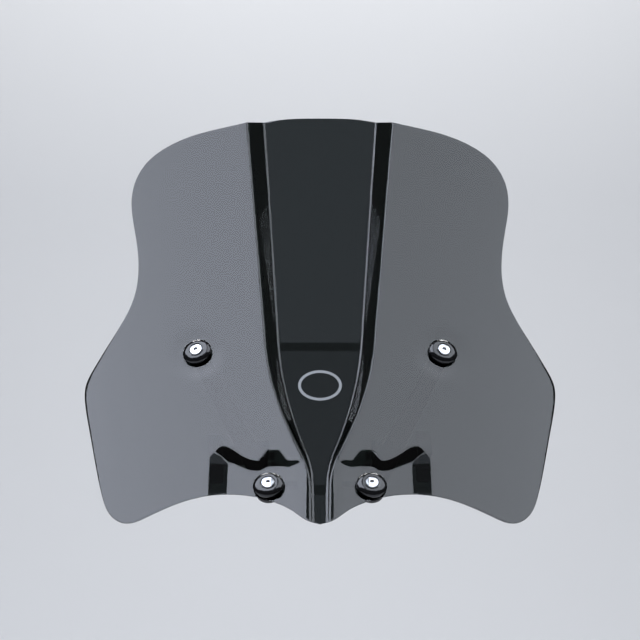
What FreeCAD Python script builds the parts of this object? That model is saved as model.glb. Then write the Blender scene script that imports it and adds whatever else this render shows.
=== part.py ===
"""Motorcycle windshield screen with a tilt adjuster: one STEP file per sub-part.

Shapes are laid out in a layout frame whose origin is under the lower point of the screen, then moved
so that the origin is the centre of the four mounting bolts. Millimetres. +X is the rider's left, -Y is
forward (the outer face of the screen), +Z is up.
"""
import FreeCAD, Part
import math
import os

V = FreeCAD.Vector

# Origin of the finished part, in the layout frame
MOUNT_Y = 142.0
MOUNT_Z = 48.0

# Screen sheet
SHEET = 3.0            # thickness
LEAN = 0.80            # rearward run per unit of height at the bottom
LEAN_EASE = 0.00055    # how fast the sheet stands up towards its top
SIDE_R = 370.0         # plan radius of the wings at the bottom
SIDE_R_GROW = 0.15     # plan radius gained per unit of height
GRID_X = 236.0         # the surface runs past the outline on every side
GRID_PAD_X = 116.0     # columns are closer together inside this
GRID_INNER = 21
GRID_OUTER = 9
GRID_Z = (-20.0, 84.0, 132.0, 212.0, 452.0)
GRID_ROWS = (26, 7, 9, 14)
SLOPE_STEP = 1.5         # half span over which the local slope is taken

# Centre channel, set back from the wings
CH_BASE = 33.7
CH_GROW = 0.0938
CH_FOOT_Z = 60.0       # below this the channel is a narrow stem
CH_FOOT_LEN = 125.0
CH_FOOT_CUT = 0.77
CH_FOOT_POWER = 2.2
CH_FOOT_EASE = 0.12      # rounds the corner where the stem opens out
CH_FLOOR = 0.77        # floor half width over channel half width
CH_DEPTH = 0.24        # depth over channel half width

# Moulded pads around the screw holes, set back from the wings
PAD_DEPTH = 6.0
PAD_INNER = (12.0, 38.0)
PAD_OUTER = (81.0, 99.0)
PAD_TOP = 67.0           # upper edge of the pad
PAD_TOP_RISE = 16.0      # it climbs this much towards the wing
PAD_FLARE = (56.0, 88.0) # between these
PAD_STEP = 8.0           # width of the step down from that edge
PAD_STEP_GROW = 8.0
PAD_SWELL = 41.0         # the edge climbs again above the lower screw
PAD_SWELL_HALF = (4.0, 14.0)
PAD_SWELL_RISE = 11.0
DIMPLE_DEPTH = 2.0
DIMPLE_R = (15.0, 28.0)

# Half outline of the sheet seen from the front, top centre to bottom centre: x, z
OUTLINE = [
    (0, 424), (34, 423), (57, 419.3), (76, 414.6), (118, 406), (150, 394.5), (172, 378.5), (184, 357),
    (186.5, 333), (182.5, 308), (177.5, 282), (175.5, 258), (178.5, 232), (187, 210),
    (200, 186), (213, 162), (220, 144), (219, 127), (212, 99), (203, 66), (194, 37),
    (184, 19), (170, 12), (152, 17), (130, 27), (108, 34), (86, 37), (64, 36), (43, 31),
    (23, 21.5), (9, 12.5), (0, 10),
]

# Screen screws: x, z of the holes
UPPER_HOLE = (113.5, 172.5)
LOWER_HOLE = (44.8, 44.0)
HOLE_R = 5.5

# Stack on each screen screw, measured forward from the outer face
FLANGE_OUT = 1.8       # rubber under the cup washer
CUP_R = 13.75
CUP_SEAT = 4.2
CUP_TOP = 6.0
HEAD_R = 5.9
HEAD_H = 3.0
HEAD_CROWN = 60.0      # r squared over drop of the crowned head
SCREW_R = 2.9
SCREW_END = -17.0
FLANGE_IN = -5.0       # back of the rear rubber flange
ARM_T = 3.0
STRAP_INSET = 0.15      # the strap is this much thinner than its pads on each side
NUT_H = 6.0
NUT_AF = 10.0

# Tilt adjuster: pivot and clamp stud, y, z, and the stack along X
PIVOT = (85.0, 62.0)
STUD = (115.0, 75.0)
PLATE_IN = 46.5
PLATE_T = 4.0
BUSH_FLANGE = 1.0
LUG_IN = PLATE_IN + PLATE_T + BUSH_FLANGE
LUG_OUT = LUG_IN + ARM_T
PIVOT_R = 5.0
RUN_CLEAR = 0.06       # radial clearance of running fits
BUSH_R = 7.0
TILT_STOP = 7.2        # half angle of the arc slot, degrees
SLOT_HALF = 4.3
STUD_R = 4.0
CLAMP_T = 2.0
CLAMP_R = 13.0
FACE_GAP = 0.1

# Knob
HUB_R = 9.5
HUB_LEN = 31.0
RIM_T = 13.0
RIM_MEAN = 20.5
RIM_WAVE = 5.5
INSERT_R = 6.5
INSERT_LEN = 18.0

# Fixed bracket foot
FOOT_IN = 20.0
FOOT_Y0 = 112.0
FOOT_Y1 = 172.0
FOOT_T = 4.0
FOOT_HOLE_X = 32.0
FOOT_HOLE_DY = 18.0
FOOT_HOLE_R = 3.3

# Badge: plain oval ring
BADGE_Z = 140.0
BADGE_A = 20.0
BADGE_B = 15.0
BADGE_BAND = 2.6
BADGE_T = 0.3


def channel_half(z):
    """Half width of the channel at height z."""
    t = (z - CH_FOOT_Z) / CH_FOOT_LEN
    if abs(t) < CH_FOOT_EASE:
        t = (t + CH_FOOT_EASE) ** 2 / (4.0 * CH_FOOT_EASE)
    t = min(max(t, 0.0), 1.0)
    return (CH_BASE + CH_GROW * z) * (1.0 - CH_FOOT_CUT * (1.0 - t) ** CH_FOOT_POWER)


def ramp(value, start, end):
    """Smooth step from 0 at start to 1 at end."""
    t = min(max((value - start) / (end - start), 0.0), 1.0)
    return t * t * (3.0 - 2.0 * t)


def pad_depth(x, z):
    """How far the moulded pads set the sheet back at x, z."""
    a = abs(x)
    flare = ramp(a, *PAD_FLARE)
    swell = 1.0 - ramp(abs(a - PAD_SWELL), *PAD_SWELL_HALF)
    top = PAD_TOP + PAD_TOP_RISE * flare + PAD_SWELL_RISE * swell
    side = min(max((PAD_OUTER[1] - a) / (PAD_OUTER[1] - PAD_OUTER[0]), 0.0), 1.0)
    drop = min(max((top - z) / (PAD_STEP + PAD_STEP_GROW * max(flare, swell)), 0.0), 1.0)
    low = min(ramp(a, *PAD_INNER), side, drop)
    dimple = 1.0 - ramp(math.hypot(a - UPPER_HOLE[0], z - UPPER_HOLE[1]), *DIMPLE_R)
    return PAD_DEPTH * low + DIMPLE_DEPTH * dimple


def sheet_y(x, z):
    """Depth of the outer face at x, z."""
    outer = channel_half(z)
    floor = CH_FLOOR * outer
    fall = min(max((outer - abs(x)) / (outer - floor), 0.0), 1.0)
    bow = max(abs(x), outer) ** 2 / (2.0 * (SIDE_R + SIDE_R_GROW * z))
    return LEAN * z - LEAN_EASE * z * z + bow + fall * CH_DEPTH * outer + pad_depth(x, z)


def columns(z):
    """Grid x positions at height z, following the channel edges."""
    outer = channel_half(z)
    floor = CH_FLOOR * outer
    wall = outer - floor
    half = [0.4 * floor, 0.8 * floor] + [floor + wall * k for k in (-0.35, -0.1, 0.15, 0.5, 0.85, 1.1, 1.35)]
    edge = outer + 0.8 * wall
    half += [edge + (GRID_PAD_X - edge) * k / GRID_INNER for k in range(GRID_INNER)]
    half += [GRID_PAD_X + (GRID_X - GRID_PAD_X) * k / GRID_OUTER for k in range(GRID_OUTER + 1)]
    return [-x for x in reversed(half)] + [0.0] + half


def spline_surface(poles):
    """Clamped uniform cubic surface on a grid of poles."""
    def knots(count):
        spans = count - 3
        return list(range(spans + 1)), [4] + [1] * (spans - 1) + [4]
    ku, mu = knots(len(poles))
    kv, mv = knots(len(poles[0]))
    surface = Part.BSplineSurface()
    surface.buildFromPolesMultsKnots(poles, mu, mv, ku, kv, False, False, 3, 3)
    return surface


def slant(x, z):
    """Depth along Y that one unit of thickness takes up at x, z."""
    across = (sheet_y(x + SLOPE_STEP, z) - sheet_y(x - SLOPE_STEP, z)) / (2.0 * SLOPE_STEP)
    up = (sheet_y(x, z + SLOPE_STEP) - sheet_y(x, z - SLOPE_STEP)) / (2.0 * SLOPE_STEP)
    return math.sqrt(1.0 + across ** 2 + up ** 2)


def sheet_surface(forward):
    """Outer face of the sheet moved forward by a distance square to it."""
    rows = []
    for start, end, count in zip(GRID_Z, GRID_Z[1:], GRID_ROWS):
        rows += [start + (end - start) * k / count for k in range(count)]
    rows.append(GRID_Z[-1])
    return spline_surface([[V(x, sheet_y(x, z) - forward * slant(x, z), z) for x in columns(z)]
                           for z in rows])


def slab(near, far):
    """Solid between two distances forward of the outer face."""
    a = sheet_surface(near).toShape()
    b = sheet_surface(far).toShape()
    sides = [Part.makeRuledSurface(p, q) for p, q in zip(a.Edges, b.Edges)]
    shell = Part.makeShell([a, b] + sides)
    shell.sewShape()
    solid = Part.makeSolid(shell)
    solid.fixTolerance(1e-4)
    return solid


def outline_prism():
    """Front outline of the sheet run through from front to back."""
    edges = []
    for side in (1, -1):
        curve = Part.BSplineCurve()
        curve.interpolate(Points=[V(side * x, -60.0, z) for x, z in OUTLINE],
                          InitialTangent=V(side, 0, 0), FinalTangent=V(-side, 0, -0.35))
        edges.append(curve.toShape())
    return Part.Face(Part.Wire(edges)).extrude(V(0, 460, 0))


def hole_frame(hole):
    """Point on the outer face and the forward normal there."""
    surface = sheet_surface(0.0)
    x, z = hole
    probe = Part.makeLine(V(x, -80, z), V(x, 400, z))
    point = probe.distToShape(surface.toShape())[1][0][1]
    normal = surface.normal(*surface.parameter(point))
    if normal.y > 0:
        normal = normal * -1.0
    return point, normal


def rod(frame, radius, start, end):
    """Cylinder on a hole axis between two distances forward of the outer face."""
    point, normal = frame
    return Part.makeCylinder(radius, end - start, point + normal * start, normal)


def turned(frame, profile):
    """Solid turned about a hole axis from a closed profile of (radius, forward) points."""
    point, normal = frame
    points = [V(r, 0, s) for r, s in profile]
    face = Part.Face(Part.makePolygon(points + points[:1]))
    solid = face.revolve(V(0, 0, 0), V(0, 0, 1), 360)
    solid.Placement = FreeCAD.Placement(point, FreeCAD.Rotation(V(0, 0, 1), normal))
    return solid


def hex_prism(across, start, height, axis_point, axis):
    """Hexagonal prism along an axis."""
    radius = across / math.sqrt(3.0)
    corners = [V(radius * math.cos(math.radians(60 * k)), radius * math.sin(math.radians(60 * k)), 0)
               for k in range(7)]
    solid = Part.Face(Part.makePolygon(corners)).extrude(V(0, 0, height))
    solid.Placement = FreeCAD.Placement(axis_point + axis * start, FreeCAD.Rotation(V(0, 0, 1), axis))
    return solid


def make_sheet(frames):
    """Screen sheet with its channel, outline and four holes."""
    sheet = slab(0.0, -SHEET).common(outline_prism())
    for frame in frames:
        sheet = sheet.cut(rod(frame, HOLE_R, -20, 20))
    return sheet.Solids[0]


def make_grommet(frame, sheet):
    """Rubber grommet with a flange on both sides of the sheet."""
    body = rod(frame, 11.5, -1.5, FLANGE_OUT)
    body = body.fuse(rod(frame, HOLE_R - 0.05, -4.0, 1.0))
    body = body.fuse(rod(frame, 10.0, FLANGE_IN, -1.5))
    return body.cut(rod(frame, 3.3, -10, 10)).cut(sheet).Solids[0]


def make_cup(frame):
    """Domed cup washer under the screw head."""
    dome = []
    for k in range(17):
        a = math.radians(90.0 * k / 16.0)
        dome.append((7.4 + (CUP_R - 7.4) * math.sin(a), 2.3 + (CUP_TOP - 2.3) * math.cos(a)))
    profile = [(3.2, FLANGE_OUT), (3.2, CUP_SEAT), (6.3, CUP_SEAT), (6.6, CUP_TOP - 0.2)] + dome
    profile += [(CUP_R, 1.5), (12.0, 1.5), (12.0, FLANGE_OUT)]
    return turned(frame, profile)


def make_screw(frame):
    """Button head screw with a hexagon socket."""
    point, normal = frame
    top = CUP_SEAT + HEAD_H
    crown = [(r, top - r * r / HEAD_CROWN) for r in (HEAD_R - 0.5, 4.0, 2.7, 1.3, 0.0)]
    profile = [(0, SCREW_END), (SCREW_R - 0.5, SCREW_END), (SCREW_R, SCREW_END + 0.6)]
    profile += [(SCREW_R, CUP_SEAT), (HEAD_R - 0.2, CUP_SEAT), (HEAD_R, top - 1.1)] + crown
    socket = hex_prism(4.0, top - 2.0, 3.0, point, normal)
    return turned(frame, profile).cut(socket)


def lock_nut(axis_point, axis, across, height, bore):
    """Hexagon lock nut with a round collar, seated at axis_point."""
    body = hex_prism(across, 0, height * 0.68, axis_point, axis)
    chamfer = Part.makeCone(across * 0.5 + height * 1.1, across * 0.5 - 0.1, height * 0.68,
                            axis_point, axis)
    collar = Part.makeCylinder(across * 0.43, height, axis_point, axis)
    body = body.common(chamfer).fuse(collar)
    return body.cut(Part.makeCylinder(bore, height * 3, axis_point - axis * height, axis))


def disc(x, width, centre, radius):
    """Disc across X at a y, z centre."""
    return Part.makeCylinder(radius, width, V(x, centre[0], centre[1]), V(1, 0, 0))


def link(x, width, p, q, rp, rq):
    """Plate across X around two circles and their outer tangents."""
    dy = q[0] - p[0]
    dz = q[1] - p[1]
    length = math.hypot(dy, dz)
    heading = math.atan2(dz, dy)
    spread = math.acos((rp - rq) / length)
    corners = []
    for centre, radius, sign in ((p, rp, 1), (q, rq, 1), (q, rq, -1), (p, rp, -1)):
        a = heading + sign * spread
        corners.append(V(x, centre[0] + radius * math.cos(a), centre[1] + radius * math.sin(a)))
    web = Part.Face(Part.makePolygon(corners + corners[:1])).extrude(V(width, 0, 0))
    return web.fuse([disc(x, width, p, rp), disc(x, width, q, rq)])


def arc_slot(x, width, half_width):
    """Slot about the pivot that the clamp stud passes through."""
    radius = math.hypot(STUD[0] - PIVOT[0], STUD[1] - PIVOT[1])
    heading = math.degrees(math.atan2(STUD[1] - PIVOT[1], STUD[0] - PIVOT[0]))
    ring = disc(x, width, PIVOT, radius + half_width).cut(disc(x, width, PIVOT, radius - half_width))
    reach = radius * 2.0
    corners = [V(x, PIVOT[0], PIVOT[1])]
    for side in (-TILT_STOP, TILT_STOP):
        a = math.radians(heading + side)
        corners.append(V(x, PIVOT[0] + reach * math.cos(a), PIVOT[1] + reach * math.sin(a)))
    wedge = Part.Face(Part.makePolygon(corners + corners[:1])).extrude(V(width, 0, 0))
    slot = ring.common(wedge)
    for side in (-TILT_STOP, TILT_STOP):
        a = math.radians(heading + side)
        end = (PIVOT[0] + radius * math.cos(a), PIVOT[1] + radius * math.sin(a))
        slot = slot.fuse(disc(x, width, end, half_width))
    return slot


def strap_section(frame, along, half_width, shift):
    """Cross-section of the strap behind the sheet, some way from a hole towards the other."""
    point, normal = frame
    across = normal.cross(along).normalize()
    start = point + across.cross(normal) * shift
    near, far = FLANGE_IN - STRAP_INSET, FLANGE_IN - ARM_T + STRAP_INSET
    corners = [start + across * (side * half_width) + normal * depth
               for side, depth in ((-1, near), (1, near), (1, far), (-1, far))]
    return Part.makePolygon(corners + corners[:1])


def make_arm(upper, lower):
    """Screen arm: strap between two pads, with the pivot and slot lug at its foot."""
    along = (upper[0] - lower[0]).normalize()
    strap = Part.makeLoft([strap_section(lower, along, 9.5, 6.0),
                           strap_section(upper, along, 7.5, -6.0)], True, True)
    pads = [rod(lower, 12.0, FLANGE_IN - ARM_T, FLANGE_IN), rod(upper, 11.0, FLANGE_IN - ARM_T, FLANGE_IN)]
    root = lower[0] + (upper[0] - lower[0]) * 0.13 + lower[1] * (FLANGE_IN - 5.0)
    foot = (root.y, root.z)
    lug = link(LUG_IN, ARM_T, foot, PIVOT, 13.0, 12.5)
    lug = lug.fuse(link(LUG_IN, ARM_T, PIVOT, STUD, 12.5, 13.0))
    lug = lug.fuse(link(LUG_IN, ARM_T, foot, STUD, 13.0, 13.0))
    ahead = Part.makeBox(400, 400, 100, V(-200, -200, 0))
    ahead.Placement = FreeCAD.Placement(lower[0] + lower[1] * FLANGE_IN,
                                        FreeCAD.Rotation(V(0, 0, 1), lower[1])).multiply(ahead.Placement)
    lug = lug.cut(ahead)
    arm = strap.fuse(pads + [lug]).removeSplitter()
    for frame in (upper, lower):
        bore = rod(frame, 3.3, -40, 40).fuse(rod(frame, 10.3, FLANGE_IN, 5.0))
        arm = arm.cut(bore.fuse(rod(frame, 7.0, FLANGE_IN - ARM_T - NUT_H, FLANGE_IN - ARM_T)))
    arm = arm.cut(disc(LUG_IN - 5, 20, PIVOT, BUSH_R))
    return arm.cut(arc_slot(LUG_IN - 5, 20, SLOT_HALF)).Solids[0]


def make_bracket():
    """Fixed bracket: upright plate with the pivot and stud holes, and a bolted foot."""
    rear = (FOOT_Y1 - 16.0, MOUNT_Z + 16.0)
    front = (FOOT_Y0 + 8.0, MOUNT_Z + 8.0)
    plate = link(PLATE_IN, PLATE_T, PIVOT, STUD, 12.0, 14.0)
    plate = plate.fuse(link(PLATE_IN, PLATE_T, STUD, rear, 14.0, 16.0))
    plate = plate.fuse(link(PLATE_IN, PLATE_T, PIVOT, front, 12.0, 8.0))
    web = [PIVOT, STUD, rear, (rear[0], MOUNT_Z), (front[0], MOUNT_Z), front]
    points = [V(PLATE_IN, y, z) for y, z in web]
    plate = plate.fuse(Part.Face(Part.makePolygon(points + points[:1])).extrude(V(PLATE_T, 0, 0)))
    foot = Part.makeBox(PLATE_IN + PLATE_T - FOOT_IN, FOOT_Y1 - FOOT_Y0, FOOT_T,
                        V(FOOT_IN, FOOT_Y0, MOUNT_Z))
    corners = [e for e in foot.Edges if abs(e.BoundBox.ZLength - FOOT_T) < 0.01
               and e.BoundBox.XMax < FOOT_IN + 1.0]
    foot = foot.makeFillet(9.0, corners)
    body = plate.fuse(foot).removeSplitter()
    body = body.cut(disc(PLATE_IN - 5, 20, PIVOT, 4.1)).cut(disc(PLATE_IN - 5, 20, STUD, 4.1))
    for side in (-FOOT_HOLE_DY, FOOT_HOLE_DY):
        drill = Part.makeCylinder(FOOT_HOLE_R, 20, V(FOOT_HOLE_X, MOUNT_Y + side, MOUNT_Z - 5))
        body = body.cut(drill)
    return body.Solids[0]


def make_bush():
    """Flanged plain bush pressed into the arm."""
    body = disc(PLATE_IN + PLATE_T + 0.05, BUSH_FLANGE - 0.05, PIVOT, 10.5)
    body = body.fuse(disc(LUG_IN, ARM_T, PIVOT, BUSH_R))
    return body.cut(disc(PLATE_IN, 20, PIVOT, PIVOT_R + RUN_CLEAR))


def make_pivot_bolt():
    """Shoulder bolt that the arm turns on."""
    seat = LUG_OUT + 1.1
    head = disc(seat, 4.5, PIVOT, 8.0)
    rim = [e for e in head.Edges if e.BoundBox.XMin > seat + 4.0]
    head = head.makeFillet(1.8, rim)
    head = head.cut(hex_prism(5.0, seat + 2.0, 5.0, V(0, PIVOT[0], PIVOT[1]), V(1, 0, 0)))
    shoulder = disc(PLATE_IN + PLATE_T, seat - PLATE_IN - PLATE_T, PIVOT, PIVOT_R)
    thread = disc(PLATE_IN - 9.0, PLATE_T + 9.0, PIVOT, 4.0)
    return head.fuse([shoulder, thread]).removeSplitter()


def make_pivot_washer():
    """Flat washer under the shoulder bolt head."""
    body = disc(LUG_OUT + FACE_GAP, 1.0, PIVOT, 10.0)
    return body.cut(disc(LUG_OUT - 1, 5, PIVOT, PIVOT_R + 0.02))


def make_stud():
    """Clamp stud: hexagon head inside the fixed bracket, thread running out to the knob."""
    head = hex_prism(13.0, PLATE_IN - 5.3, 5.3, V(0, STUD[0], STUD[1]), V(1, 0, 0))
    shank = disc(PLATE_IN, 36.0, STUD, STUD_R)
    tip = [e for e in shank.Edges if e.BoundBox.XMin > PLATE_IN + 35]
    return head.fuse(shank.makeChamfer(0.8, tip)).removeSplitter()


def make_clamp_washer():
    """Friction washer carried by the knob, sliding on the stud."""
    start = LUG_OUT + FACE_GAP
    return disc(start, CLAMP_T, STUD, CLAMP_R).cut(disc(start - 1, 10, STUD, STUD_R + RUN_CLEAR))


def make_knob(turn):
    """Three-lobe hand knob with a long hub."""
    start = LUG_OUT + 2.0 * FACE_GAP + CLAMP_T
    hub = disc(start, HUB_LEN + 2.0, STUD, HUB_R)
    points = []
    for k in range(24):
        a = math.radians(15.0 * k)
        r = RIM_MEAN - RIM_WAVE * math.sin(3.0 * (a - math.radians(turn)) + math.pi)
        points.append(V(start + HUB_LEN, STUD[0] + r * math.cos(a), STUD[1] + r * math.sin(a)))
    curve = Part.BSplineCurve()
    curve.interpolate(Points=points, PeriodicFlag=True)
    rim = Part.Face(Part.Wire([curve.toShape()])).extrude(V(RIM_T, 0, 0))
    rim = rim.makeFillet(3.0, [e for e in rim.Edges if e.BoundBox.XLength < 0.1])
    body = hub.fuse(rim)
    body = body.cut(disc(start - 1, INSERT_LEN + 1, STUD, INSERT_R))
    return body.cut(disc(start, 29.0, STUD, STUD_R + 0.8)).Solids[0]


def make_insert():
    """Threaded brass insert moulded into the knob hub."""
    start = LUG_OUT + 2.0 * FACE_GAP + CLAMP_T
    return disc(start, INSERT_LEN, STUD, INSERT_R).cut(disc(start - 1, 60, STUD, STUD_R + RUN_CLEAR))


def make_badge():
    """Plain oval ring of foil on the channel floor."""
    def oval(a, b):
        ellipse = Part.Ellipse(V(0, 0, 0), a, b)
        face = Part.Face(Part.Wire([ellipse.toShape()]))
        face.Placement = FreeCAD.Placement(V(0, -60, BADGE_Z), FreeCAD.Rotation(V(1, 0, 0), 90))
        return face.extrude(V(0, 460, 0))
    ring = oval(BADGE_A, BADGE_B).cut(oval(BADGE_A - BADGE_BAND, BADGE_B - BADGE_BAND))
    return slab(0.02, BADGE_T).common(ring).Solids[0]


def flipped(shape):
    """The same shape on the other side of the middle plane."""
    return shape.mirror(V(0, 0, 0), V(1, 0, 0))


upper = hole_frame(UPPER_HOLE)
lower = hole_frame(LOWER_HOLE)
upper_far = (V(-upper[0].x, upper[0].y, upper[0].z), V(-upper[1].x, upper[1].y, upper[1].z))
lower_far = (V(-lower[0].x, lower[0].y, lower[0].z), V(-lower[1].x, lower[1].y, lower[1].z))
sheet = make_sheet([upper, lower, upper_far, lower_far])
nodes = {"screen_sheet": sheet, "badge": make_badge()}

for name, frame in (("upper", upper), ("lower", lower)):
    point, normal = frame
    seat = point + normal * (FLANGE_IN - ARM_T)
    group = {
        "screen_screw": make_screw(frame),
        "cup_washer": make_cup(frame),
        "grommet": make_grommet(frame, sheet),
        "screen_nut": lock_nut(seat, normal * -1.0, NUT_AF, NUT_H, SCREW_R + 0.03),
    }
    for part, shape in group.items():
        nodes[part + "_left_" + name] = shape
        nodes[part + "_right_" + name] = flipped(shape)

pivot_seat = V(PLATE_IN, PIVOT[0], PIVOT[1])
pairs = {
    "screen_arm": make_arm(upper, lower),
    "fixed_bracket": make_bracket(),
    "pivot_bush": make_bush(),
    "pivot_bolt": make_pivot_bolt(),
    "pivot_washer": make_pivot_washer(),
    "pivot_nut": lock_nut(pivot_seat, V(-1, 0, 0), 13.0, 8.0, 4.03),
    "clamp_stud": make_stud(),
    "clamp_washer": make_clamp_washer(),
    "knob_insert": make_insert(),
}
for part, shape in pairs.items():
    nodes[part + "_left"] = shape
    nodes[part + "_right"] = flipped(shape)
nodes["knob_left"] = make_knob(28.0)
nodes["knob_right"] = flipped(make_knob(0.0))

os.makedirs("parts", exist_ok=True)
for name, shape in nodes.items():
    shape.translate(V(0, -MOUNT_Y, -MOUNT_Z))
    shape.exportStep("parts/" + name + ".step")
    print(name, shape.isValid(), len(shape.Solids), round(shape.Volume, 1))
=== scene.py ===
import math
import bpy
import numpy as np
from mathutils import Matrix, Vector


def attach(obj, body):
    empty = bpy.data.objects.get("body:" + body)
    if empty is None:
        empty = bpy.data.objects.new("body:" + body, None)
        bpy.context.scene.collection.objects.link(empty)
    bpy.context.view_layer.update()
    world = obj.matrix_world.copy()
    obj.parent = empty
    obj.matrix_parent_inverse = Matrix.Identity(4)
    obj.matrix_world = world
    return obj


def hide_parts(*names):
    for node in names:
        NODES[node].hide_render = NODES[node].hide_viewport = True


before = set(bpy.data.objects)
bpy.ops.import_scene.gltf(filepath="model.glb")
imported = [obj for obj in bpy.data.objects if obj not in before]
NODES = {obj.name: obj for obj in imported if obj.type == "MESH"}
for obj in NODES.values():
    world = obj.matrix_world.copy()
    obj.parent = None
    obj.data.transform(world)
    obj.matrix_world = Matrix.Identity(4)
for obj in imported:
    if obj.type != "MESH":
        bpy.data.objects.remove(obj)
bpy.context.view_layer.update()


# ---------------------------------------------------------------- materials
class Nodes:
    """Small helper that builds one node material."""

    def __init__(self, name):
        self.mat = bpy.data.materials.new(name)
        self.mat.use_nodes = True
        self.tree = self.mat.node_tree
        self.bsdf = self.tree.nodes["Principled BSDF"]

    def add(self, kind, **values):
        node = self.tree.nodes.new(kind)
        for key, value in values.items():
            if key in node.inputs:
                node.inputs[key].default_value = value
            else:
                setattr(node, key, value)
        return node

    def link(self, a, b):
        self.tree.links.new(a, b)

    def set(self, **values):
        for key, value in values.items():
            self.bsdf.inputs[key.replace("_", " ")].default_value = value

    def coords(self):
        return self.add("ShaderNodeTexCoord").outputs["Object"]

    def noise(self, scale, detail=4.0, rough=0.5):
        node = self.add("ShaderNodeTexNoise", Scale=scale, Detail=detail, Roughness=rough)
        self.link(self.coords(), node.inputs["Vector"])
        return node.outputs["Fac"]

    def ramp(self, source, low, high, lo=0.3, hi=0.7):
        node = self.add("ShaderNodeMapRange")
        node.inputs["From Min"].default_value = lo
        node.inputs["From Max"].default_value = hi
        node.inputs["To Min"].default_value = low
        node.inputs["To Max"].default_value = high
        self.link(source, node.inputs["Value"])
        return node.outputs["Result"]

    def tint(self, source, dark, light):
        node = self.add("ShaderNodeMix", data_type="RGBA")
        node.inputs["A"].default_value = (*dark, 1)
        node.inputs["B"].default_value = (*light, 1)
        self.link(source, node.inputs["Factor"])
        return node.outputs["Result"]

    def bump(self, source, strength, distance):
        node = self.add("ShaderNodeBump", Strength=strength, Distance=distance)
        self.link(source, node.inputs["Height"])
        self.link(node.outputs["Normal"], self.bsdf.inputs["Normal"])


def tinted_sheet():
    m = Nodes("tinted_sheet_look")
    m.set(Base_Color=(1, 1, 1, 1), Roughness=0.0, IOR=1.58, Transmission_Weight=1.0)
    vol = m.add("ShaderNodeVolumeAbsorption", Density=1700.0)
    vol.inputs["Color"].default_value = (0.0, 0.075, 0.06, 1)
    out = m.tree.nodes["Material Output"]
    m.link(vol.outputs[0], out.inputs["Volume"])
    return m.mat


def gloss_black():
    m = Nodes("gloss_black_look")
    m.set(Base_Color=(0.006, 0.006, 0.007, 1), IOR=1.5, Coat_Weight=0.4, Coat_Roughness=0.03)
    m.link(m.ramp(m.noise(900.0), 0.05, 0.12), m.bsdf.inputs["Roughness"])
    return m.mat


def polished_steel():
    m = Nodes("polished_steel_look")
    m.set(Base_Color=(0.72, 0.73, 0.75, 1), Metallic=1.0)
    m.link(m.ramp(m.noise(1500.0), 0.1, 0.2), m.bsdf.inputs["Roughness"])
    return m.mat


def zinc_steel():
    m = Nodes("zinc_steel_look")
    m.set(Metallic=1.0)
    grain = m.noise(700.0)
    m.link(m.tint(grain, (0.42, 0.43, 0.44), (0.62, 0.63, 0.64)), m.bsdf.inputs["Base Color"])
    m.link(m.ramp(grain, 0.28, 0.42), m.bsdf.inputs["Roughness"])
    return m.mat


def black_coat():
    m = Nodes("black_coat_look")
    grain = m.noise(1200.0, 6.0)
    m.link(m.tint(m.noise(60.0), (0.013, 0.013, 0.014), (0.022, 0.022, 0.024)), m.bsdf.inputs["Base Color"])
    m.link(m.ramp(grain, 0.38, 0.55), m.bsdf.inputs["Roughness"])
    m.bump(grain, 0.25, 0.0002)
    return m.mat


def rubber():
    m = Nodes("rubber_look")
    grain = m.noise(1600.0, 6.0)
    m.link(m.tint(m.noise(200.0), (0.01, 0.01, 0.01), (0.02, 0.02, 0.02)), m.bsdf.inputs["Base Color"])
    m.link(m.ramp(grain, 0.6, 0.8), m.bsdf.inputs["Roughness"])
    m.bump(grain, 0.3, 0.0002)
    return m.mat


def bronze():
    m = Nodes("bronze_look")
    m.set(Metallic=1.0)
    grain = m.noise(900.0)
    m.link(m.tint(grain, (0.5, 0.34, 0.15), (0.66, 0.47, 0.23)), m.bsdf.inputs["Base Color"])
    m.link(m.ramp(grain, 0.25, 0.4), m.bsdf.inputs["Roughness"])
    return m.mat


def nylon():
    m = Nodes("nylon_look")
    grain = m.noise(800.0)
    m.link(m.tint(grain, (0.035, 0.035, 0.035), (0.055, 0.055, 0.055)), m.bsdf.inputs["Base Color"])
    m.link(m.ramp(grain, 0.45, 0.6), m.bsdf.inputs["Roughness"])
    return m.mat


def knob_black():
    m = Nodes("knob_black_look")
    grain = m.noise(2200.0, 5.0)
    m.link(m.tint(m.noise(90.0), (0.012, 0.012, 0.013), (0.02, 0.02, 0.021)), m.bsdf.inputs["Base Color"])
    m.link(m.ramp(grain, 0.32, 0.5), m.bsdf.inputs["Roughness"])
    m.bump(grain, 0.35, 0.0002)
    return m.mat


def foil():
    m = Nodes("foil_look")
    m.set(Metallic=1.0)
    grain = m.noise(1500.0)
    m.link(m.tint(grain, (0.17, 0.175, 0.18), (0.24, 0.245, 0.25)), m.bsdf.inputs["Base Color"])
    m.link(m.ramp(grain, 0.32, 0.45), m.bsdf.inputs["Roughness"])
    return m.mat


LOOKS = {
    "screen_sheet": tinted_sheet(), "badge": foil(), "screen_screw": polished_steel(),
    "cup_washer": gloss_black(), "grommet": rubber(), "screen_nut": zinc_steel(),
    "screen_arm": black_coat(), "fixed_bracket": black_coat(), "pivot_bush": bronze(),
    "pivot_bolt": zinc_steel(), "pivot_washer": zinc_steel(), "pivot_nut": zinc_steel(),
    "clamp_stud": zinc_steel(), "clamp_washer": nylon(), "knob_insert": bronze(),
    "knob": knob_black(),
}
for name, node in NODES.items():
    stem = name
    for word in ("_upper", "_lower", "_left", "_right"):
        stem = stem.replace(word, "")
    for slot in node.material_slots:
        slot.material = LOOKS[stem]


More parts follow.
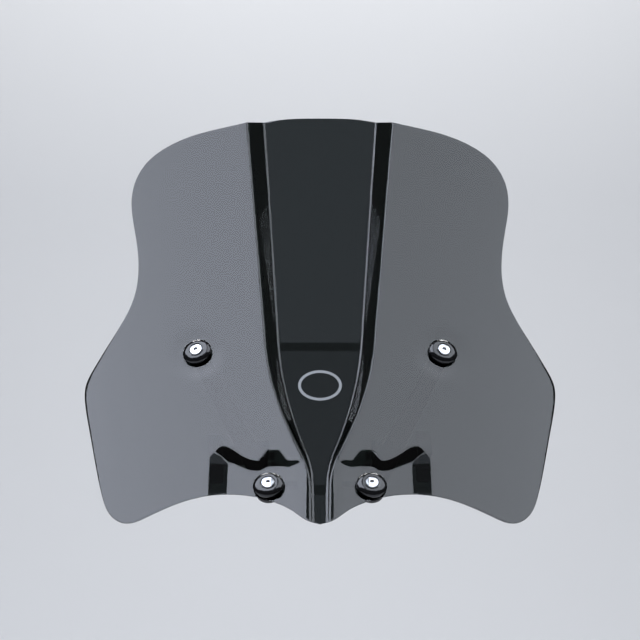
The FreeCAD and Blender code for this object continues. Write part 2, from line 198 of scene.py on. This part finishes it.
# ---------------------------------------------------------------- screen sheet
# The CAD sheet's shape, in millimetres from its layout origin, on a finer mesh with softened folds.
MOUNT_Y, MOUNT_Z = 142.0, 48.0          # origin of the finished part, in the layout frame
SHEET = 3.0                             # thickness
LEAN, LEAN_EASE = 0.8, 0.00055          # rearward run per height, and how fast it eases
SIDE_R, SIDE_R_GROW = 370.0, 0.15       # plan radius of the wings, and its growth with height
SLOPE_STEP = 1.5                        # half span over which the local slope is taken
FOLD_EASE = 0.05                        # half width of a softened fold, as a share of its step

# Centre channel, set back from the wings. Below its foot it is a narrow stem.
CH_BASE, CH_GROW = 33.7, 0.0938
CH_FOOT_Z, CH_FOOT_LEN = 60.0, 125.0
CH_FOOT_CUT, CH_FOOT_POWER, CH_FOOT_EASE = 0.77, 2.2, 0.12
CH_WALL, CH_DEPTH = 0.23, 0.24          # wall width and depth over channel half width

# Moulded pads around the lower screws, and a dimple around each upper screw
PAD_DEPTH = 6.0
PAD_INNER, PAD_OUTER = (12.0, 38.0), (81.0, 99.0)
PAD_TOP, PAD_TOP_RISE, PAD_FLARE = 67.0, 16.0, (56.0, 88.0)
PAD_STEP, PAD_STEP_GROW = 8.0, 8.0
PAD_SWELL, PAD_SWELL_RISE, PAD_SWELL_HALF = 41.0, 11.0, (4.0, 14.0)
DIMPLE_X, DIMPLE_Z, DIMPLE_DEPTH, DIMPLE_R = 113.5, 172.5, 2.0, (15.0, 28.0)

# Half outline seen from the front, top centre to bottom centre: x, z
OUTLINE = [
    (0, 424), (34, 423), (57, 419.3), (76, 414.6), (118, 406), (150, 394.5), (172, 378.5), (184, 357),
    (186.5, 333), (182.5, 308), (177.5, 282), (175.5, 258), (178.5, 232), (187, 210),
    (200, 186), (213, 162), (220, 144), (219, 127), (212, 99), (203, 66), (194, 37),
    (184, 19), (170, 12), (152, 17), (130, 27), (108, 34), (86, 37), (64, 36), (43, 31),
    (23, 21.5), (9, 12.5), (0, 10),
]
TOP_CORNER, BOTTOM_CORNER = 6, 21         # where the outline's top, side and bottom curves meet
START_SLOPE, END_SLOPE = (1, 0), (-0.944, -0.33)
SPAN = 24                               # samples between two outline points

# Mesh spacing: up to each share of the run, the step as a share of the run
ACROSS_STEPS = [(0.008, 0.008), (0.22, 0.009), (0.78, 0.0026), (0.992, 0.009)]
UP_STEPS = [(0.006, 0.006), (0.5, 0.0038), (0.994, 0.0062)]
EDGE_R, EDGE_ANGLE = 0.0011, 50         # polished edge, metres and degrees


def ramp(v, start, end):
    """Smooth step from 0 at start to 1 at end."""
    t = np.clip((v - start) / (end - start), 0.0, 1.0)
    return t * t * (3.0 - 2.0 * t)


def soft(v, w):
    """max(v, 0) with its corner rounded over plus and minus w."""
    return np.where(v > w, v, np.where(v < -w, 0.0, (v + w) ** 2 / (4.0 * w)))


def fold(v):
    """v held between 0 and 1, with both corners softened."""
    return soft(v, FOLD_EASE) - soft(v - 1.0, FOLD_EASE)


def channel_half(z):
    """Half width of the channel at height z."""
    t = np.minimum(soft((z - CH_FOOT_Z) / CH_FOOT_LEN, CH_FOOT_EASE), 1.0)
    return (CH_BASE + CH_GROW * z) * (1.0 - CH_FOOT_CUT * (1.0 - t) ** CH_FOOT_POWER)


def pad_depth(a, z):
    """How far the pads and dimples set the sheet back, a from the centre line."""
    flare = ramp(a, *PAD_FLARE)
    swell = 1.0 - ramp(np.abs(a - PAD_SWELL), *PAD_SWELL_HALF)
    top = PAD_TOP + PAD_TOP_RISE * flare + PAD_SWELL_RISE * swell
    side = fold((PAD_OUTER[1] - a) / (PAD_OUTER[1] - PAD_OUTER[0]))
    drop = fold((top - z) / (PAD_STEP + PAD_STEP_GROW * np.maximum(flare, swell)))
    corner = np.maximum(1.0 - np.hypot(1.0 - side, 1.0 - drop), 0.0)
    low = np.minimum(ramp(a, *PAD_INNER), corner)
    dimple = 1.0 - ramp(np.hypot(a - DIMPLE_X, z - DIMPLE_Z), *DIMPLE_R)
    return PAD_DEPTH * low + DIMPLE_DEPTH * dimple


def sheet_y(x, z):
    """Depth of the outer face."""
    a = np.abs(x)
    outer = channel_half(z)
    wall = CH_WALL * outer
    fall = fold((outer - a) / wall)
    past = soft(a - outer, FOLD_EASE * wall)
    bow = (outer * outer / 2.0 + outer * past + past * past / 2.0) / (SIDE_R + SIDE_R_GROW * z)
    return LEAN * z - LEAN_EASE * z * z + bow + fall * CH_DEPTH * outer + pad_depth(a, z)


def back_y(x, z):
    """Depth of the inner face at the same x, z: one thickness square to the outer face."""
    h = SLOPE_STEP
    across = (sheet_y(x + h, z) - sheet_y(x - h, z)) / (2.0 * h)
    up = (sheet_y(x, z + h) - sheet_y(x, z - h)) / (2.0 * h)
    return sheet_y(x, z) + SHEET * np.sqrt(1.0 + across ** 2 + up ** 2)


def spline(points, first, last, count):
    """Clamped cubic through the points, sampled evenly along each span."""
    p = np.array(points, float)
    h = np.hypot(*np.diff(p, axis=0).T)
    n = len(p)
    a = np.zeros((n, n))
    b = np.zeros((n, 2))
    a[0, 0] = a[-1, -1] = 1.0
    b[0], b[-1] = first, last
    for k in range(1, n - 1):
        a[k, k - 1], a[k, k], a[k, k + 1] = h[k], 2.0 * (h[k - 1] + h[k]), h[k - 1]
        b[k] = 3.0 * (h[k] * (p[k] - p[k - 1]) / h[k - 1] + h[k - 1] * (p[k + 1] - p[k]) / h[k])
    d = np.linalg.solve(a, b)
    out = []
    for k in range(n - 1):
        for t in np.arange(count) / count:
            out.append(p[k] * (1 + 2 * t) * (1 - t) ** 2 + p[k + 1] * t * t * (3 - 2 * t)
                       + h[k] * (d[k] * t * (1 - t) ** 2 + d[k + 1] * t * t * (t - 1)))
    out.append(p[-1])
    return np.array(out)


def spread(lo, hi, parts):
    """Positions from lo to hi whose spacing changes at given places: (place, step) pairs."""
    out = [lo]
    for place, step in parts + [(hi, parts[-1][1])]:
        count = max(int(round((place - out[-1]) / step)), 1)
        start = out[-1]
        out += [start + (place - start) * k / count for k in range(1, count + 1)]
    return np.unique(np.round(out, 6))


def along(curve, share):
    """Points at shares of a curve's length."""
    run = np.concatenate([[0], np.cumsum(np.hypot(*np.diff(curve, axis=0).T))])
    run /= run[-1]
    return np.stack([np.interp(share, run, curve[:, 0]), np.interp(share, run, curve[:, 1])], -1)


def sheet_grid():
    """Front x, z grid of the sheet: a blend of its four outline curves."""
    half = spline(OUTLINE, START_SLOPE, END_SLOPE, SPAN)
    top = half[:TOP_CORNER * SPAN + 1]
    side = half[TOP_CORNER * SPAN:BOTTOM_CORNER * SPAN + 1]
    low = half[BOTTOM_CORNER * SPAN:]
    mirror = np.array([-1.0, 1.0])
    top = np.concatenate([(top * mirror)[::-1], top[1:]])
    low = np.concatenate([low * mirror, low[::-1][1:]])
    s = spread(0.0, 1.0, ACROSS_STEPS)
    t = spread(0.0, 1.0, UP_STEPS)
    u, v = np.meshgrid(s, t, indexing="ij")
    u, v = u[..., None], v[..., None]
    up = along(side[::-1], t)[None]
    far = up * mirror
    b, c = along(low, s)[:, None], along(top, s)[:, None]
    corners = ((1 - u) * (1 - v) * b[:1] + u * (1 - v) * b[-1:]
               + (1 - u) * v * c[:1] + u * v * c[-1:])
    return (1 - v) * b + v * c + (1 - u) * far + u * up - corners


def make_sheet():
    grid = sheet_grid()
    nu, nv = grid.shape[:2]
    x, z = grid[..., 0].ravel(), grid[..., 1].ravel()
    front = np.stack([x, sheet_y(x, z) - MOUNT_Y, z - MOUNT_Z], -1)
    back = np.stack([x, back_y(x, z) - MOUNT_Y, z - MOUNT_Z], -1)
    verts = np.concatenate([front, back]) / 1000.0
    size = nu * nv
    i, j = np.meshgrid(np.arange(nu - 1), np.arange(nv - 1), indexing="ij")
    q = (i * nv + j).ravel()
    faces = np.stack([q, q + nv, q + nv + 1, q + 1], -1)
    faces = np.concatenate([faces, faces[:, ::-1] + size])
    ring = ([k * nv for k in range(nu)] + [(nu - 1) * nv + k for k in range(1, nv)]
            + [k * nv + nv - 1 for k in range(nu - 2, -1, -1)] + [k for k in range(nv - 2, 0, -1)])
    ring = np.array(ring)
    after = np.roll(ring, -1)
    rim = np.stack([ring, ring + size, after + size, after], -1)
    faces = np.concatenate([faces, rim])
    mesh = bpy.data.meshes.new("tinted_screen")
    mesh.from_pydata(verts.tolist(), [], faces.tolist())
    mesh.materials.append(LOOKS["screen_sheet"])
    mesh.polygons.foreach_set("use_smooth", [True] * len(mesh.polygons))
    piece = bpy.data.objects.new("tinted_screen", mesh)
    bpy.context.scene.collection.objects.link(piece)
    bevel = piece.modifiers.new("polished_edge", "BEVEL")
    bevel.width = EDGE_R
    bevel.segments = 3
    bevel.limit_method = "ANGLE"
    bevel.angle_limit = math.radians(EDGE_ANGLE)
    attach(piece, "screen")
    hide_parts("screen_sheet")


make_sheet()


# ---------------------------------------------------------------- stage
FLOOR_Z, WALL_Y, SWEEP_R = -0.42, 2.6, 1.2
SWEEP_PARTS = 16


def plain(name, colour, rough):
    """Matt surface with a very faint mottle."""
    m = Nodes(name)
    grain = m.noise(3.0)
    m.link(m.tint(grain, [c * 0.985 for c in colour], colour), m.bsdf.inputs["Base Color"])
    m.set(Roughness=rough)
    return m.mat


def sweep():
    """Floor that curves up into a backdrop."""
    start = WALL_Y - SWEEP_R
    profile = [(-3.5, FLOOR_Z)]
    for k in range(SWEEP_PARTS + 1):
        a = math.radians(90.0 * k / SWEEP_PARTS)
        profile.append((start + SWEEP_R * math.sin(a), FLOOR_Z + SWEEP_R * (1.0 - math.cos(a))))
    profile.append((WALL_Y, 4.0))
    verts = [(x, y, z) for y, z in profile for x in (-4.0, 4.0)]
    faces = [(2 * k, 2 * k + 1, 2 * k + 3, 2 * k + 2) for k in range(len(profile) - 1)]
    mesh = bpy.data.meshes.new("sweep")
    mesh.from_pydata(verts, [], faces)
    mesh.materials.append(plain("sweep_look", (0.72, 0.73, 0.75), 0.9))
    for face in mesh.polygons:
        face.use_smooth = True
    piece = bpy.data.objects.new("sweep", mesh)
    bpy.context.scene.collection.objects.link(piece)


def area(name, place, target, size, power, colour=(1, 1, 1)):
    """Rectangular light of size metres and power watts, turned from place to target."""
    data = bpy.data.lights.new(name, "AREA")
    data.shape = "RECTANGLE"
    data.size, data.size_y = size
    data.energy = power
    data.color = colour
    lamp = bpy.data.objects.new(name, data)
    lamp.location = place
    lamp.rotation_euler = (Vector(target) - Vector(place)).to_track_quat("-Z", "Y").to_euler()
    bpy.context.scene.collection.objects.link(lamp)


sweep()
# Overhead banks that the glossy sheet reflects. The wings reflect the side banks, the channel floor
# reflects the dim centre ones, and the pads' steep edges reflect the gap between them.
BLUE = (0.76, 0.87, 1.0)
area("bank_left", (-1.06, -0.645, 1.75), (-1.06, -0.645, 0), (1.9, 1.39), 34.3, (0.81, 0.865, 1.0))
area("bank_right", (1.06, -0.645, 1.75), (1.06, -0.645, 0), (1.9, 1.39), 21.4, (0.84, 0.90, 1.0))
area("bank_centre", (0, -0.9675, 1.75), (0, -0.9675, 0), (0.2, 0.865), 0.278, BLUE)
area("bank_front", (0, -0.30, 1.75), (0, -0.30, 0), (0.14, 0.40), 0.060, BLUE)
area("bank_gap", (0, -0.5175, 1.75), (0, -0.5175, 0), (0.2, 0.035), 0.002, BLUE)
area("back_fill", (0, 0.85, 0.78), (0, 0.0, 0.1), (1.3, 0.5), 7.0)
area("backdrop_light", (0, 1.3, 2.6), (0, 2.6, 0.8), (2.5, 0.5), 54.0)

world = bpy.data.worlds.new("studio")
world.use_nodes = True
world.node_tree.nodes["Background"].inputs["Color"].default_value = (0.5, 0.52, 0.55, 1)
world.node_tree.nodes["Background"].inputs["Strength"].default_value = 0.12
bpy.context.scene.world = world

# ---------------------------------------------------------------- camera
AIM = Vector((0.0, -0.030, 0.152))
RISE = math.radians(7.5)
RANGE = 1.9
camera = bpy.data.objects.new("camera", bpy.data.cameras.new("camera"))
camera.data.lens = 116.6
camera.data.sensor_width = 36.0
camera.data.clip_start = 0.05
camera.location = AIM - RANGE * Vector((0, math.cos(RISE), math.sin(RISE)))
camera.rotation_euler = (AIM - camera.location).to_track_quat("-Z", "Y").to_euler()
bpy.context.scene.collection.objects.link(camera)
bpy.context.scene.camera = camera
bpy.context.scene.view_settings.view_transform = "Standard"
